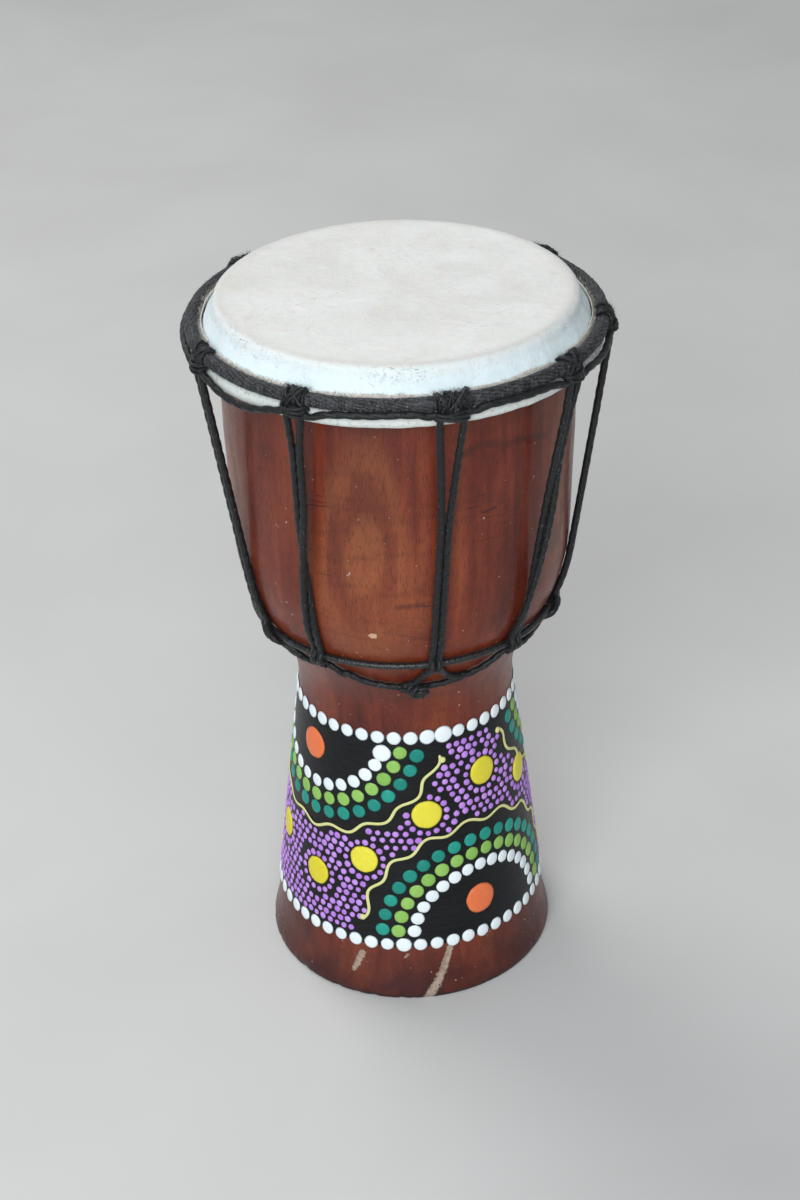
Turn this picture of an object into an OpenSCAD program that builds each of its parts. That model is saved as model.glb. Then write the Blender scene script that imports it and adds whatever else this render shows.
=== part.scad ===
// Djembe: a goblet drum turned from one log, with a goat hide head laced on by hand.
// Millimetres. The drum stands on z = 0 with its axis on Z. Angles are measured from
// the front of the drum (-Y) and grow towards +X, and every "_z" is a height.

/* [Shell] */
// Outside radius of the neck
neck_r = 43.7; // [43.2:0.1:44.2]
// Height of the corner between neck and bowl
neck_z = 141; // [140:0.5:142]
// Growth of the foot's radius for each millimetre down
foot_taper = 0.126; // [0.12:0.001:0.13]
// Outside radius of the bowl at its widest
bowl_r = 68.4; // [68.2:0.1:68.4]
// Lean of the bowl's underside from upright, degrees
bowl_flare = 28.7; // [28.5:0.1:29]
// Height where the bowl's underside starts to round upright
belly_z = 166; // [165:0.5:167]
// Radius of that rounding
belly_r = 78; // [77:0.5:79]
// Height of the rim under the hide
rim_z = 299; // [298.8:0.1:299]
// Thickness of the bowl's wall
wall = 7; // [6:0.5:8]
// Radius of the throat, the hole through the neck
throat_r = 31; // [29:0.5:32]
// Inside radius of the foot at the floor
foot_bore_r = 50; // [48:0.5:51]

/* [Head] */
// Thickness of the hide
hide_t = 0.9; // [0.7:0.1:0.9]
// Radius of the flat playing face
face_r = 66.6; // [66.4:0.1:66.8]
// Radius of the steel hoop inside the hide's hem
hoop_r = 2.3; // [2:0.1:2.3]
// Radius of the circle that the hoop follows
hoop_path_r = 75.6; // [75.5:0.1:75.8]
// Height of the hoop
hoop_z = 283; // [282.8:0.1:283.2]

/* [Crown ring] */
// Radius of the circle that the crown ring follows
crown_path_r = 77.9; // [77.8:0.1:78]
// Height of the crown ring
crown_z = 289.4; // [289.3:0.1:289.6]
// Radius of the ring's steel core
crown_core_r = 1.7; // [1.5:0.1:1.8]
// Radius of the ring with its cloth wrap
crown_r = 2.6; // [2.4:0.1:2.6]

/* [Lacing] */
// Radius of the lacing cord
cord_r = 1.45; // [1.3:0.05:1.45]
// Radius of the thinner cord that runs from knot to knot
loop_r = 1.35; // [1.2:0.05:1.35]
// Gap between a cord and what it lies on
cord_gap = 0.2; // [0.15:0.05:0.25]
// Number of laces round the drum
lace_count = 9; // [9:1:9]
// Height of the waist ring's contact with the bowl
waist_z = 170; // [169.5:0.5:170.5]
// Radius of the waist ring's wire
waist_core_r = 0.8; // [0.7:0.1:0.9]
// Radius of the waist ring with its wrap
waist_r = 1.3; // [1.2:0.1:1.4]

/* [Paint] */
// Lower edge of the black painted band
band_lo_z = 25.5; // [24:0.5:26]
// Upper edge of the black painted band
band_hi_z = 124.5; // [124:0.5:125]
// Thickness of the black paint
band_t = 0.3; // [0.2:0.05:0.3]
// Thickness of a paint dot
dot_t = 0.6; // [0.5:0.05:0.6]
// Radius of a white dot
white_r = 2.95; // [2.6:0.05:3]
// Radius of a green or teal dot
green_r = 3.1; // [2.8:0.05:3.2]
// Radius of an orange dot
orange_r = 6.9; // [6:0.1:7]
// Radius of a yellow dot
yellow_r = 6.5; // [6:0.1:6.6]
// Radius of a violet dot
violet_r = 1.35; // [1.2:0.05:1.4]
// Distance between violet dots
violet_step = 3.7; // [3.7:0.1:5]

/* [Hidden] */
$fn = 96;
rim_round = 1.9;
paint_gap = 0.05;
lace_index = [for (i = [1:lace_count]) i];

// The knots are tied by hand, so their spacing is uneven: the angle of each lace at the
// crown ring and at the waist ring, and half the angle between its two strands up there.
lace_top = [-65, -27.5, 13.3, 52, 85, 131, 165, 198, 231];
lace_foot = [-60, -32.5, 10.6, 42.5, 76, 126, 162, 196, 229];
lace_spread = [1.8, 2.1, 3.2, 2, 2, 2.6, 2.2, 2.8, 2.4];
// How far each cord from knot to knot hangs below the ring at its middle
loop_sag = [6.2, 0, 0, 3, 3, 0.5, 0, 2, 0];

// ---- Shell outline --------------------------------------------------------------

// Outside radius of the foot: a cone that eases into the neck
foot_top_z = 130;
function foot_r(z) =
    let (s = foot_taper * (foot_top_z - z))
    neck_r + (s + sqrt(s * s + 1.44)) / 2;
function flare_r(z) = foot_r(neck_z) + (z - neck_z) * tan(bowl_flare);
belly_c = [flare_r(belly_z) - belly_r * cos(bowl_flare), belly_z + belly_r * sin(bowl_flare)];
function belly_arc_r(z) = belly_c[0] + sqrt(belly_r * belly_r - pow(z - belly_c[1], 2));
cheek_z = belly_c[1] - 2;
brow_z = 245;
function brow_r(z) =
    let (t = min(1, (z - cheek_z) / (brow_z - cheek_z)))
    belly_arc_r(cheek_z) * (1 - t) + bowl_r * t;
// Outside radius of the shell at height z
function shell_r(z) =
    z < neck_z ? foot_r(z) :
    z < belly_z ? flare_r(z) :
    z < cheek_z ? belly_arc_r(z) : brow_r(z);
// Lean of the bowl from upright at a height on its rounding
function belly_lean(z) = asin((belly_c[1] - z) / belly_r);

function arc(c, r, a0, a1, n) =
    [for (i = [0:n]) let (a = a0 + (a1 - a0) * i / n) [c[0] + r * cos(a), c[1] + r * sin(a)]];
function place(angle, r, z) = [r * sin(angle), -r * cos(angle), z];

toe_z = 6;
module shell_outline() {
    toe_r = foot_r(toe_z) + 0.6;
    foot_part = [for (i = [1:20]) let (z = toe_z + (neck_z - toe_z) * i / 20) [foot_r(z), z]];
    bowl_part = [for (i = [1:12]) let (z = belly_z + (cheek_z - belly_z) * i / 12) [shell_r(z), z]];
    rim_c = [bowl_r - rim_round, rim_z - rim_round];
    rim_in = [bowl_r - wall + 3, rim_z - 3];
    bowl_in_z = 215;
    bowl_in_r = bowl_r - wall;
    cup = [for (i = [0:10]) let (a = i * 9)
        [throat_r + (bowl_in_r - throat_r) * cos(a), bowl_in_z - 63 * sin(a)]];
    polygon(concat(
        [[foot_bore_r + 1, 0]], arc([toe_r + 0.2, 1.4], 1.4, -90, 0, 4), [[toe_r, toe_z - 0.5]],
        foot_part, [[flare_r(belly_z), belly_z]], bowl_part, [[bowl_r, brow_z]],
        arc(rim_c, rim_round, 0, 90, 6), arc(rim_in, 3, 90, 180, 6),
        cup, [[throat_r, 120], [foot_bore_r, 1]]
    ));
}

module shell() {
    color([0.49, 0.24, 0.16])
    rotate_extrude() shell_outline();
}

// ---- Head -----------------------------------------------------------------------

// A strip of even thickness t along an open path of [r, z] points
function heading(p, i) =
    let (a = p[max(0, i - 1)], b = p[min(len(p) - 1, i + 1)]) (b - a) / norm(b - a);
function side(p, t) = [for (i = [0:len(p) - 1]) let (d = heading(p, i)) p[i] + t * [-d[1], d[0]]];
function turned(p) = [for (i = [len(p) - 1:-1:0]) p[i]];
function bend(a, c, b, n) =
    [for (i = [1:n - 1]) let (t = i / n) pow(1 - t, 2) * a + 2 * t * (1 - t) * c + t * t * b];

edge_round = 2.4;
edge_c = [face_r, rim_z - 1.85];
skirt_lean = 22.8;
fold_r = hoop_r + 0.1 + hide_t / 2;
fold_end = 60;
hem_r = 74.5;
hem_z = 292.6;
hide_path =
    let (corner = arc(edge_c, edge_round, 90, skirt_lean, 6),
         skirt_top = corner[6],
         skirt_foot = [hoop_path_r - fold_r, hoop_z],
         skirt_mid = [skirt_foot[0], skirt_top[1] - (skirt_foot[0] - skirt_top[0]) / tan(skirt_lean)],
         fold = arc([hoop_path_r, hoop_z], fold_r, 180, 360 + fold_end, 20),
         fold_top = fold[20])
    concat(
        corner, bend(skirt_top, skirt_mid, skirt_foot, 8), fold,
        bend(fold_top, [hem_r + 0.1, hem_z - 5.2], [hem_r, hem_z - 3], 4),
        [[hem_r, hem_z - 3], [hem_r, hem_z]]
    );

module drumhead() {
    color([0.87, 0.88, 0.86])
    rotate_extrude() polygon(concat(
        [[0, hide_path[0][1] + hide_t / 2]], side(hide_path, hide_t / 2),
        turned(side(hide_path, -hide_t / 2)), [[0, hide_path[0][1] - hide_t / 2]]
    ));
}

module flesh_hoop() {
    color([0.55, 0.55, 0.57])
    rotate_extrude() translate([hoop_path_r, hoop_z]) circle(hoop_r);
}

// ---- Crown ring -----------------------------------------------------------------

module crown_ring() {
    color([0.45, 0.45, 0.47])
    rotate_extrude() translate([crown_path_r, crown_z]) circle(crown_core_r);
}

module wrap(path_r, z, core, outer) {
    rotate_extrude() translate([path_r, z]) difference() {
        circle(outer);
        circle(core + 0.02);
    }
}

module crown_wrap() {
    color([0.13, 0.13, 0.14])
    wrap(crown_path_r, crown_z, crown_core_r, crown_r);
}

// A hitch round a cord or ring, open on the side that lies against the drum
module hitch(angle, half, path_r, z, inner, outer, from, to) {
    n = 14;
    rotate([0, 0, angle - half - 90])
    rotate_extrude(angle = 2 * half)
    translate([path_r, z])
    polygon(concat(arc([0, 0], outer, from, to, n), arc([0, 0], inner, to, from, n)));
}

hitch_half = 1.6;
module crown_knot(i) {
    color([0.11, 0.11, 0.12])
    for (s = [-1, 1])
        hitch(lace_top[i] + s * lace_spread[i], hitch_half, crown_path_r, crown_z,
              crown_r + 0.1, crown_r + 1.7, -58, 118);
}

// A round cord through points, with equal turns of its section
function frame_x(d) = let (c = cross([0, 0, 1], d)) norm(c) < 0.01 ? [1, 0, 0] : c / norm(c);
function aim(p, i, closed) =
    let (n = len(p), a = p[closed ? (i + n - 1) % n : max(0, i - 1)],
         b = p[closed ? (i + 1) % n : min(n - 1, i + 1)])
    (b - a) / norm(b - a);
module cord(p, r, sides = 8, closed = false) {
    n = len(p);
    rings = [for (i = [0:n - 1]) let (d = aim(p, i, closed), x = frame_x(d), y = cross(d, x))
        for (k = [0:sides - 1]) p[i] + r * (cos(360 * k / sides) * x + sin(360 * k / sides) * y)];
    spans = closed ? n : n - 1;
    walls = [for (i = [0:spans - 1]) for (k = [0:sides - 1])
        let (a = i * sides, b = ((i + 1) % n) * sides, m = (k + 1) % sides)
        [a + k, a + m, b + m, b + k]];
    ends = closed ? [] : [
        [for (k = [sides - 1:-1:0]) k],
        [for (k = [0:sides - 1]) (n - 1) * sides + k]
    ];
    polyhedron(rings, [for (f = concat(walls, ends)) turned(f)]);
}

// The cord that runs below the crown ring from one knot to the next
loop_top_z = crown_z - 2.9;
loop_out_r = crown_path_r + 2.95;
function loop_path_r(z) =
    z > hoop_z ? loop_out_r :
    hoop_path_r + sqrt(pow(loop_out_r - hoop_path_r, 2) - pow(hoop_z - z, 2));
loop_clear = hitch_half + 1;
module crown_loop(i) {
    next = (i + 1) % lace_count;
    a = lace_top[i] + lace_spread[i] + loop_clear;
    b = lace_top[next] + (next == 0 ? 360 : 0) - lace_spread[next] - loop_clear;
    steps = 10;
    color([0.13, 0.13, 0.14])
    cord([for (k = [0:steps])
        let (t = k / steps, u = pow(2 * t - 1, 2),
             z = loop_top_z - loop_sag[i] * (1 - u) - 2.5 * u * u)
        place(a + (b - a) * t, loop_path_r(z), z)], loop_r);
}

// ---- Laces ----------------------------------------------------------------------

stand_off = 1.15 * (cord_r + cord_gap);
waist_lean = belly_lean(waist_z);
waist_c = [shell_r(waist_z) + (waist_r + cord_gap) * cos(waist_lean),
           waist_z - (waist_r + cord_gap) * sin(waist_lean)];
hook_z = 284.9;
hook_r = 80.9;
touch_z = 196;
lace_end_z = 167.6;
// Straight in the air from the crown ring, then down the bowl and over the waist ring
function lace_air_r(z) =
    let (touch_r = shell_r(touch_z) + stand_off)
    touch_r + (hook_r - touch_r) * (z - touch_z) / (hook_z - touch_z);
function lace_over_r(z) =
    let (reach = waist_r + cord_r + cord_gap, d = z - waist_c[1])
    abs(d) < reach ? waist_c[0] + sqrt(reach * reach - d * d) : 0;
function lace_r(z) = max(shell_r(z) + stand_off, z > touch_z ? lace_air_r(z) : lace_over_r(z));

lace_heights = [hook_z, 270, 250, 230, 212, 200, 192, 185, 179, 174.5, 171, 169, lace_end_z];
module lace(i) {
    foot_half = asin((cord_r + cord_gap) / lace_r(lace_end_z));
    color([0.12, 0.12, 0.13])
    for (s = [-1, 1])
        cord([for (z = lace_heights)
            let (t = (z - lace_end_z) / (hook_z - lace_end_z),
                 mid = lace_foot[i] + (lace_top[i] - lace_foot[i]) * t,
                 half = foot_half + (lace_spread[i] - foot_half) * t * t)
            place(mid + s * half, lace_r(z), z)], cord_r);
}

// ---- Waist ----------------------------------------------------------------------

module waist_ring() {
    color([0.45, 0.45, 0.47])
    rotate_extrude() translate(waist_c) circle(waist_core_r);
}

module waist_wrap() {
    color([0.14, 0.14, 0.15])
    wrap(waist_c[0], waist_c[1], waist_core_r, waist_r);
}

// The tie cord is caught up at every lace but the third, and hangs lower between them
tie_top_z = 165;
tie_stops = [for (i = [0:lace_count - 1]) if (i != 2) lace_foot[i]];
tie_steps = 10;
function tie_z(t, span) = tie_top_z - 0.145 * span * pow(sin(180 * t), 0.6);
module waist_tie() {
    n = len(tie_stops);
    color([0.12, 0.12, 0.13])
    cord([for (i = [0:n - 1]) for (k = [0:tie_steps - 1])
        let (a = tie_stops[i], b = tie_stops[(i + 1) % n] + (i == n - 1 ? 360 : 0),
             t = k / tie_steps, z = tie_z(t, b - a))
        place(a + (b - a) * t, shell_r(z) + stand_off, z)], loop_r, 8, true);
}

knot_angle = 5;
module waist_knot() {
    span = tie_stops[2] - tie_stops[1];
    z = tie_z((knot_angle - tie_stops[1]) / span, span);
    color([0.1, 0.1, 0.11])
    hitch(knot_angle, 3.6, shell_r(z) + stand_off, z, loop_r + 0.3, loop_r + 2.2,
          -bowl_flare - 105, -bowl_flare + 105);
}

// ---- Paint ----------------------------------------------------------------------

// A film on the foot between two heights, from one distance off the wood to another
module film(lo_z, hi_z, from, to, steps = 20) {
    zs = [for (k = [0:steps]) lo_z + (hi_z - lo_z) * k / steps];
    rotate_extrude() polygon(concat(
        [for (z = zs) [foot_r(z) + to, z]], [for (z = turned(zs)) [foot_r(z) + from, z]]
    ));
}

module painted_band() {
    color([0.11, 0.11, 0.12])
    film(band_lo_z, band_hi_z, paint_gap, paint_gap + band_t);
}

dot_base = 2 * paint_gap + band_t;
module on_foot(angle, z, out) {
    lean = atan(foot_r(z - 1) - foot_r(z));
    rotate([0, 0, angle - 90])
    translate([foot_r(z) + out, 0, z])
    rotate([0, 90 - lean, 0])
    children();
}

module dot(p, r) {
    on_foot(p[0], p[1], dot_base) cylinder(h = dot_t, r = r);
}

// A wide dot follows the curve of the foot
module wide_dot(p, r) {
    intersection() {
        film(p[1] - r - 2, p[1] + r + 2, dot_base, dot_base + dot_t, 4);
        on_foot(p[0], p[1], -3) cylinder(h = 9, r = r);
    }
}

// Half moons hang from the upper row of dots and stand on the lower row, each twice round
hang = [-55, 124];
stand = [33.5, 26.5];
half_turns = [0, 180];
function degrees_at(z, length) = length / foot_r(z) * 180 / PI;
// The point on the foot at an offset across and up from a half moon's centre
function offset_at(c, across, up) =
    let (z = c[1] + up) [c[0] + degrees_at(z, across), z];
function oval(c, row, a, swell = 1) =
    offset_at(c, row[0] * cos(a) * swell, row[1] * sin(a) * swell);
// Offset from p to q along the foot's surface
function across_up(p, q) =
    let (turn = (q[0] - p[0] + 720 + 180) % 360 - 180)
    [turn * PI / 180 * foot_r((p[1] + q[1]) / 2), q[1] - p[1]];

// Half widths and half heights of the half moons' rows, from inside to outside. The last
// is the wavy line's, which also has its first and last angle and its number of waves.
hang_rows = [[34.3, 30], [41.3, 36.3], [48.4, 42.6], [57.5, 49.5]];
hang_line = [-10, -170, 9];
stand_rows = [[32.3, 32.3], [38.9, 38.9], [45.5, 45.5], [53.8, 53.8]];
stand_line = [12, 168, 8];
function swell_at(line, a) =
    1 + 0.032 * sin(360 * line[2] * (a - line[0]) / (line[1] - line[0]));

module moon_row(c, row, count, first, last, r) {
    for (turn = half_turns, k = [0:count - 1])
        dot(oval([c[0] + turn, c[1]], row, first + (last - first) * k / (count - 1)), r);
}

module white_dots() {
    upper = 42;
    lower = 51;
    color([0.9, 0.93, 0.94]) {
        for (k = [0:upper - 1]) dot([360 / upper * (k + 0.2), hang[1]], white_r);
        for (k = [0:lower - 1]) dot([360 / lower * (k + 0.5), stand[1]], white_r);
        moon_row(hang, hang_rows[0], 14, -14, -166, white_r);
        moon_row(stand, stand_rows[0], 15, 12, 168, white_r);
    }
}

module light_green_dots() {
    color([0.55, 0.76, 0.35]) {
        moon_row(hang, hang_rows[1], 16, -10.5, -169.5, green_r);
        moon_row(stand, stand_rows[1], 16, 10, 170, green_r);
    }
}

module teal_dots() {
    color([0.13, 0.58, 0.52]) {
        moon_row(hang, hang_rows[2], 18, -11, -169, green_r);
        moon_row(stand, stand_rows[2], 18, 9, 171, green_r);
    }
}

module orange_dots() {
    color([0.93, 0.48, 0.3])
    for (turn = half_turns, p = [[hang[0], 110], [stand[0] - 1.5, 42.2]])
        wide_dot([p[0] + turn, p[1]], orange_r);
}

// The yellow dots follow the middle of the river between the half moons
river = [[8.5, 88], [39.7, 101], [70, 88], [103, 58.5], [133.5, 51.5], [158.5, 65.5]];
module yellow_dots() {
    color([0.9, 0.84, 0.22])
    for (turn = half_turns, p = river) wide_dot([p[0] + turn, p[1]], yellow_r);
}

// True where a point lies outside a half moon's wavy line by more than a margin
line_margin = violet_r + 1;
function past_line(c, row, line, p) =
    let (d = across_up(c, p), a = atan2(d[1] / row[1], d[0] / row[0]),
         edge = swell_at(line, a) * norm([row[0] * cos(a), row[1] * sin(a)]))
    norm(d) > edge + line_margin;
function in_river(p) =
    p[1] > stand[1] + white_r + violet_r + 0.3 && p[1] < hang[1] - white_r - violet_r - 0.3 &&
    min([for (turn = half_turns)
        past_line([hang[0] + turn, hang[1]], hang_rows[3], hang_line, p) &&
        past_line([stand[0] + turn, stand[1]], stand_rows[3], stand_line, p) ? 1 : 0]) > 0;
river_all = [for (turn = half_turns, p = river) [p[0] + turn, p[1]]];
halo_r = yellow_r + violet_r + 0.6;
halo_count = 15;
halo = [for (p = river_all, k = [0:halo_count - 1])
    oval(p, [halo_r, halo_r], 360 / halo_count * k + 5 * p[1])];
row_step = 0.87 * violet_step;
rows_z = [for (z = [stand[1] + 4.9:row_step:hang[1] - 4.7]) z];
field = [for (j = [0:len(rows_z) - 1])
    let (z = rows_z[j], n = round(2 * PI * foot_r(z) / violet_step),
         shake = rands(-0.4, 0.4, 2 * n, 11 + j))
    for (k = [0:n - 1])
        [360 / n * (k + (j % 2) / 2) + degrees_at(z, shake[k]), z + shake[n + k] / 2]];
halo_room = halo_r + 0.78 * violet_step;
loose = [for (p = field) if (min([for (q = river_all) norm(across_up(q, p))]) > halo_room) p];
module violet_dots() {
    color([0.73, 0.5, 0.86])
    for (p = concat(halo, loose)) if (in_river(p)) dot(p, violet_r);
}

// A wavy line of flat section round a half moon
line_w = 1.5;
line_t = 0.6;
module wavy_line(c, row, line) {
    steps = 6 * line[2];
    path = [for (k = [0:steps])
        let (a = line[0] + (line[1] - line[0]) * k / steps) oval(c, row, a, swell_at(line, a))];
    function point(p, out) = place(p[0], foot_r(p[1]) + out, p[1]);
    rings = [for (k = [0:steps])
        let (p = point(path[k], 0), a = point(path[max(0, k - 1)], 0),
             b = point(path[min(steps, k + 1)], 0), d = (b - a) / norm(b - a),
             up = place(path[k][0], 1, 0), w = cross(d, up) * line_w / 2)
        each [p + w + dot_base * up, p - w + dot_base * up,
              p - w + (dot_base + line_t) * up, p + w + (dot_base + line_t) * up]];
    walls = [for (k = [0:steps - 1], m = [0:3])
        [4 * k + m, 4 * k + (m + 1) % 4, 4 * k + 4 + (m + 1) % 4, 4 * k + 4 + m]];
    ends = [[3, 2, 1, 0], [4 * steps, 4 * steps + 1, 4 * steps + 2, 4 * steps + 3]];
    polyhedron(rings, concat(walls, ends));
}

module cream_lines() {
    color([0.86, 0.88, 0.6])
    for (turn = half_turns) {
        wavy_line([hang[0] + turn, hang[1]], hang_rows[3], hang_line);
        wavy_line([stand[0] + turn, stand[1]], stand_rows[3], stand_line);
    }
}

shell();
painted_band();
white_dots();
light_green_dots();
teal_dots();
orange_dots();
yellow_dots();
violet_dots();
cream_lines();
drumhead();
flesh_hoop();
crown_ring();
crown_wrap();
for (i = lace_index) {
    crown_knot(i - 1);
    crown_loop(i - 1);
    lace(i - 1);
}
waist_ring();
waist_wrap();
waist_tie();
waist_knot();
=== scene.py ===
"""Looks of a small laced djembe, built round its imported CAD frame.

Metres, +Z up, the drum's axis on Z. Angles are in degrees from the drum's front (-Y)
and grow towards +X, as in the CAD source.
"""

import random
from math import atan2, cos, degrees, dist, exp, hypot, pi, radians, sin, sqrt

import bmesh
import bpy
import numpy as np
from mathutils import Euler, Matrix, Vector, noise


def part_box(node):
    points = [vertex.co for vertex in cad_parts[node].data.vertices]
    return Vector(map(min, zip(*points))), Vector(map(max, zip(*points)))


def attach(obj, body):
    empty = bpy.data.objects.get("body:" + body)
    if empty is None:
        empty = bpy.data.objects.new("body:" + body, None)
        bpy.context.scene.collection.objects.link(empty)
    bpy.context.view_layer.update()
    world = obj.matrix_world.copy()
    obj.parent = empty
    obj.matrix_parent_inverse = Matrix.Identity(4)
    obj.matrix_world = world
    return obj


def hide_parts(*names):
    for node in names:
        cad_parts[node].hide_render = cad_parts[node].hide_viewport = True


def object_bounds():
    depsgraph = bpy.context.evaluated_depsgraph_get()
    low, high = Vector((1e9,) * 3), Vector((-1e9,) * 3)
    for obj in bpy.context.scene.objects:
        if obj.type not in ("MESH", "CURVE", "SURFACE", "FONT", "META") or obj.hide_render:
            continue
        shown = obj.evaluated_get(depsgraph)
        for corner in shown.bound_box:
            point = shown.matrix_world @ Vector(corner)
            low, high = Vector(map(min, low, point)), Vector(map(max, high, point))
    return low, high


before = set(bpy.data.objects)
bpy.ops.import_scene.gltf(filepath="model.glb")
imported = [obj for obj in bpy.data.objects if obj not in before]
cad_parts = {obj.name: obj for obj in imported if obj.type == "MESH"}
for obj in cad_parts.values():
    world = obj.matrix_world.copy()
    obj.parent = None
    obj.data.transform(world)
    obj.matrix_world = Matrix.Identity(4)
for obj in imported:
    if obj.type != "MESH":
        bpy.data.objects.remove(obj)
cad_low, cad_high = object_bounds()

MM = 0.001
BODY = "root"
LACES = 9
DRUM_HEIGHT = cad_high.z
chance = random.Random(7)
uniform = chance.uniform


# ---- Places ----


def angle_of(x, y):
    return degrees(atan2(x, -y))


def share_of(value):
    """A value held between 0 and 1."""
    return max(0.0, min(1.0, value))


def turn_between(a, b):
    return (a - b + 540) % 360 - 180


def at(angle, radius, z):
    """The point at an angle from the drum's front, a distance from its axis and a height."""
    a = radians(angle)
    return Vector((radius * sin(a), -radius * cos(a), z))


def wobble(x, y=0.0, z=0.0, seed=0.0):
    """Smooth noise from -1 to 1."""
    return noise.noise(Vector((x + 17.3 * seed, y - 9.1 * seed, z + 4.7 * seed)))


def ripple(angle, fineness, z=0.0, seed=0.0):
    """Smooth noise from -1 to 1 that closes on itself round the drum."""
    place = at(angle, 1, 0)
    return wobble(place.x * fineness, place.y * fineness, z, seed)


# ---- Reading the frame ----


def node_points(node):
    """The vertices of a CAD node as rows of x, y, z."""
    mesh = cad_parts[node].data
    points = np.zeros(len(mesh.vertices) * 3)
    mesh.vertices.foreach_get("co", points)
    return points.reshape(-1, 3)


def loose_parts(node):
    """The separate solids of a CAD node, each as its own rows of points."""
    points = node_points(node)
    keys, home = np.unique(np.round(points / (0.01 * MM)).astype(int), axis=0, return_inverse=True)
    home = home.ravel()
    parent = list(range(len(keys)))

    def find(i):
        while parent[i] != i:
            parent[i] = parent[parent[i]]
            i = parent[i]
        return i

    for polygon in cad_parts[node].data.polygons:
        corners = [find(home[v]) for v in polygon.vertices]
        for corner in corners[1:]:
            parent[find(corner)] = find(corners[0])
    groups = {}
    for i, h in enumerate(home):
        groups.setdefault(find(h), []).append(i)
    return [points[members] for members in groups.values()]


def turned_outline(node):
    """The distinct (radius, height) pairs of a turned node's vertices."""
    points = node_points(node)
    pairs = np.stack([np.hypot(points[:, 0], points[:, 1]), points[:, 2]], 1)
    return np.unique(np.round(pairs / (0.01 * MM)), axis=0) * 0.01 * MM


def outer_side(pairs, reach=6 * MM, wall=4 * MM):
    """The pairs that nothing near the same height lies well outside of, from the floor up."""
    kept = [p for p in pairs
            if not any(abs(q[1] - p[1]) < reach and q[0] > p[0] + wall for q in pairs)]
    return np.array(sorted(kept, key=lambda p: p[1]))


shell_pairs = turned_outline("shell")
shell_outside = outer_side(shell_pairs)


def shell_radius(z):
    return float(np.interp(z, shell_outside[:, 1], shell_outside[:, 0]))


def tube_path(node):
    """The radius and height of a torus-shaped node's middle, and the radius of its section."""
    low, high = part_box(node)
    section = (high.z - low.z) / 2
    return high.x - section, (high.z + low.z) / 2, section


crown_r, crown_z, crown_section = tube_path("crown_wrap")
hoop_path_r, hoop_z, hoop_section = tube_path("flesh_hoop")
waist_r, waist_z, waist_section = tube_path("waist_wrap")

# The angles of each lace's two crown hitches, from the CAD knots' solids
HITCHES = {i: sorted(angle_of(*part[:, :2].mean(0)) for part in loose_parts(f"crown_knot_{i}"))
           for i in range(1, LACES + 1)}


def knot_press(angle, width):
    """1 under a crown hitch, falling to 0 beside it."""
    return max(exp(-(turn_between(angle, a) / width) ** 2) for pair in HITCHES.values() for a in pair)


# ---- Building meshes ----


def add_object(name, data):
    made = bpy.data.objects.new(name, data)
    bpy.context.scene.collection.objects.link(made)
    return made


def add_piece(name, points, faces, material, attributes=None, node=None):
    """A new smooth mesh object that rides on the drum, and the CAD node that it replaces."""
    mesh = bpy.data.meshes.new(name)
    mesh.from_pydata([tuple(p) for p in points], [], faces)
    for label, values in (attributes or {}).items():
        layer = mesh.attributes.new(label, "FLOAT", "POINT")
        layer.data.foreach_set("value", np.asarray(values, np.float32))
    mesh.polygons.foreach_set("use_smooth", [True] * len(mesh.polygons))
    mesh.update()
    mesh.validate()
    piece = add_object(name, mesh)
    mesh.materials.append(material)
    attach(piece, BODY)
    if node:
        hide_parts(node)
    return piece


def grid_faces(rows, columns, close_rows=False):
    """Quads over a grid of points stored row by row, each row closed on itself."""
    faces = []
    for i in range(rows if close_rows else rows - 1):
        low, high = i * columns, (i + 1) % rows * columns
        for k in range(columns):
            n = (k + 1) % columns
            faces.append((low + k, low + n, high + n, high + k))
    return faces


class Heap:
    """Points and faces gathered for one piece, with a shade of light or dark for each point."""

    def __init__(self):
        self.points, self.faces, self.tones = [], [], []

    def add(self, points, faces, tone):
        start = len(self.points)
        self.points += points
        self.faces += [tuple(start + i for i in face) for face in faces]
        self.tones += [tone] * len(points)

    def piece(self, name, material, slot, node=None):
        return add_piece(name, self.points, self.faces, material, {"tone": self.tones}, node)


def smooth_path(points, spacing, closed=False):
    """Points at even spacing on a smooth curve through the given ones."""
    p = [Vector(q) for q in points]
    n = len(p)
    steps = 16
    fine = []
    for i in range(n if closed else n - 1):
        a = p[(i - 1) % n] if closed or i > 0 else p[0] * 2 - p[1]
        b, c = p[i], p[(i + 1) % n]
        d = p[(i + 2) % n] if closed or i + 2 < n else p[-1] * 2 - p[-2]
        for k in range(steps):
            t = k / steps
            fine.append(0.5 * (2 * b + (c - a) * t + (2 * a - 5 * b + 4 * c - d) * t * t
                               + (3 * b - a - 3 * c + d) * t ** 3))
    fine.append(p[0].copy() if closed else p[-1].copy())
    run = running_length(fine)
    marks = np.linspace(0, run[-1], max(4, round(run[-1] / spacing)) + 1)
    if closed:
        marks = marks[:-1]
    xyz = np.array(fine)
    return [Vector([float(np.interp(m, run, xyz[:, k])) for k in range(3)]) for m in marks]


def running_length(path):
    """The length of a path up to each of its points."""
    return np.concatenate([[0], np.cumsum([dist(a, b) for a, b in zip(path, path[1:])])])


def path_sides(path, closed=False):
    """Two directions square to the path at each point, turning as little as possible."""
    n = len(path)
    sides = []
    side = None
    for i in range(n):
        before = path[(i - 1) % n] if closed or i > 0 else path[0]
        after = path[(i + 1) % n] if closed or i < n - 1 else path[-1]
        along = (after - before).normalized()
        if side is None:
            side = along.orthogonal().normalized()
        side = (side - along * side.dot(along)).normalized()
        sides.append((side, along.cross(side)))
    return sides


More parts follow.
